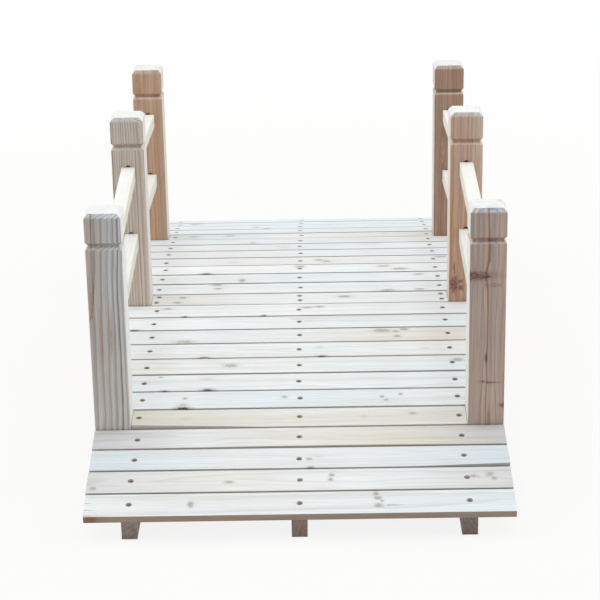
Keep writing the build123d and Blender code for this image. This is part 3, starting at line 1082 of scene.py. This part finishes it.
washer = [(0, 0), (WASHER_RADIUS, 0), (WASHER_RADIUS, WASHER_THICKNESS), (0, WASHER_THICKNESS)]
bolt_top = WASHER_THICKNESS + BOLT_HEAD_HEIGHT
bolt_half = BOLT_ACROSS_CORNERS / 2
bolt = [
    (0, bolt_top),
    (bolt_half * BOLT_CHAMFER_SHARE, bolt_top),
    (bolt_half, bolt_top - BOLT_CHAMFER),
    (bolt_half, WASHER_THICKNESS),
    (0, WASHER_THICKNESS),
]
coach_screw = make_mesh("coach_screw", [
    turned(washer[::-1], (0, 0, 0), sides=28),
    turned(bolt, (0, 0, 0), sides=6),
])
places = []
for side, face in (("left", 1), ("right", -1)):
    for place in ("front", "middle", "back"):
        low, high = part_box(f"{place}_{side}_post")
        y = (low.y + high.y) / 2
        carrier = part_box(f"{side}_splice" if place == "middle" else f"{side}_{place}_stringer")
        x = carrier[1].x if face > 0 else carrier[0].x
        bottom, top = underside_height(y), seat_height(y)
        for share in BOLT_SHARES:
            at = (x, y, bottom + share * (top - bottom))
            places.append(Matrix.Translation(at) @ Matrix.Rotation(radians(90) * face, 4, "Y"))
bright_zinc = metal("bright_zinc", paint(186, 188, 190), paint(132, 134, 138), paint(150, 146, 140))
show(scatter("post_bolts", coach_screw, places), "post_bolts", bright_zinc)


# Studio: a plain pale floor, one broad lamp above and a little behind, a softer one at each side and a low
# even sky. The floor and sky are white to the camera, and the floor keeps part of the bridge's shadow.
FLOOR_RADIUS = 40.0
FLOOR_CORNERS = 64
FLOOR_TONE = (232, 226, 219)
FLOOR_FADE = (0.9, 2.6)
FLOOR_WHITE_SHARE = 0.86
SKY_STRENGTH = 0.55
LAMP_COLOUR = (0.935, 0.98, 1.0)
LAMP_AIM = (0, 0, 0.15)
LAMPS = {
    "top_lamp": ((0.0, -0.1, 5.0), (7.0, 3.6), 149.0),
    "left_lamp": ((-6.8, 1.2, 3.05), (4.4, 4.4), 144.0),
    "right_lamp": ((6.8, 1.2, 3.05), (4.4, 4.4), 144.0),
}


def seen_directly(finish):
    """1 for rays from the camera, straight, mirrored or through glass, and 0 for light on its way to a
    surface."""
    path = finish.nodes.new("ShaderNodeLightPath").outputs
    either = finish.math("MAXIMUM", path["Is Camera Ray"], path["Is Glossy Ray"])
    return finish.math("MAXIMUM", either, path["Is Transmission Ray"])


paper = Finish("pale_floor")
paper.set(paper.surface.inputs["Base Color"], paint(*FLOOR_TONE))
paper.set(paper.surface.inputs["Roughness"], 0.9)
paper.set(paper.surface.inputs["Specular IOR Level"], 0.0)
distance = paper.length(paper.add("NewGeometry", {}, "Position"))
white_share = paper.fade(distance, *FLOOR_FADE, FLOOR_WHITE_SHARE, 1.0)
white = paper.add("Emission", {"Color": (1, 1, 1, 1), "Strength": 1.0})
shown = paper.math("MULTIPLY", seen_directly(paper), white_share)
paper_shader = paper.add("MixShader", {0: shown, 1: paper.surface.outputs[0], 2: white})
paper.set(paper.nodes["Material Output"].inputs["Surface"], paper_shader)

turn = np.linspace(0, 2 * pi, FLOOR_CORNERS, endpoint=False)
rim = np.column_stack((np.cos(turn), np.sin(turn), np.zeros(FLOOR_CORNERS))) * FLOOR_RADIUS
floor = bpy.data.objects.new("floor", make_mesh("floor", [(rim, [tuple(range(FLOOR_CORNERS))])]))
floor.data.materials.append(paper.material)
bpy.context.collection.objects.link(floor)

world = bpy.data.worlds.new("sky")
world.use_nodes = True
bpy.context.scene.world = world
sky = world.node_tree.nodes["Background"]
path = world.node_tree.nodes.new("ShaderNodeLightPath").outputs
strength = path["Is Camera Ray"]
for kind in ("Is Glossy Ray", "Is Transmission Ray"):
    either = world.node_tree.nodes.new("ShaderNodeMath")
    either.operation = "MAXIMUM"
    world.node_tree.links.new(strength, either.inputs[0])
    world.node_tree.links.new(path[kind], either.inputs[1])
    strength = either.outputs[0]
level = world.node_tree.nodes.new("ShaderNodeMapRange")
level.inputs["To Min"].default_value = SKY_STRENGTH
world.node_tree.links.new(strength, level.inputs["Value"])
world.node_tree.links.new(level.outputs["Result"], sky.inputs["Strength"])
sky.inputs["Color"].default_value = (1, 1, 1, 1)

for name, (at, size, power) in LAMPS.items():
    lamp = bpy.data.lights.new(name, "AREA")
    lamp.shape = "RECTANGLE"
    lamp.size, lamp.size_y = size
    lamp.energy = power
    lamp.color = LAMP_COLOUR
    stand = bpy.data.objects.new(name, lamp)
    stand.location = at
    stand.rotation_euler = (Vector(LAMP_AIM) - Vector(at)).to_track_quat("-Z", "Y").to_euler()
    bpy.context.collection.objects.link(stand)


# Camera: it stands off the front end, a little above, with a long lens. Its place and angles were fitted to
# points measured in the photograph.
LENS = 120.17
SENSOR_WIDTH = 36.0
CAMERA_PLACE = (0.03277, -3.55689, 1.44492)
CAMERA_ELEVATION = 0.35565
CAMERA_YAW = 0.00910
CAMERA_ROLL = -0.01821

view = bpy.data.cameras.new("camera")
view.lens = LENS
view.sensor_width = SENSOR_WIDTH
camera = bpy.data.objects.new("camera", view)
aim = Matrix.Rotation(CAMERA_YAW, 4, "Z") @ Matrix.Rotation(pi / 2 - CAMERA_ELEVATION, 4, "X")
camera.matrix_world = Matrix.Translation(CAMERA_PLACE) @ aim @ Matrix.Rotation(CAMERA_ROLL, 4, "Z")
bpy.context.collection.objects.link(camera)
bpy.context.scene.camera = camera
bpy.context.scene.view_settings.view_transform = "Standard"
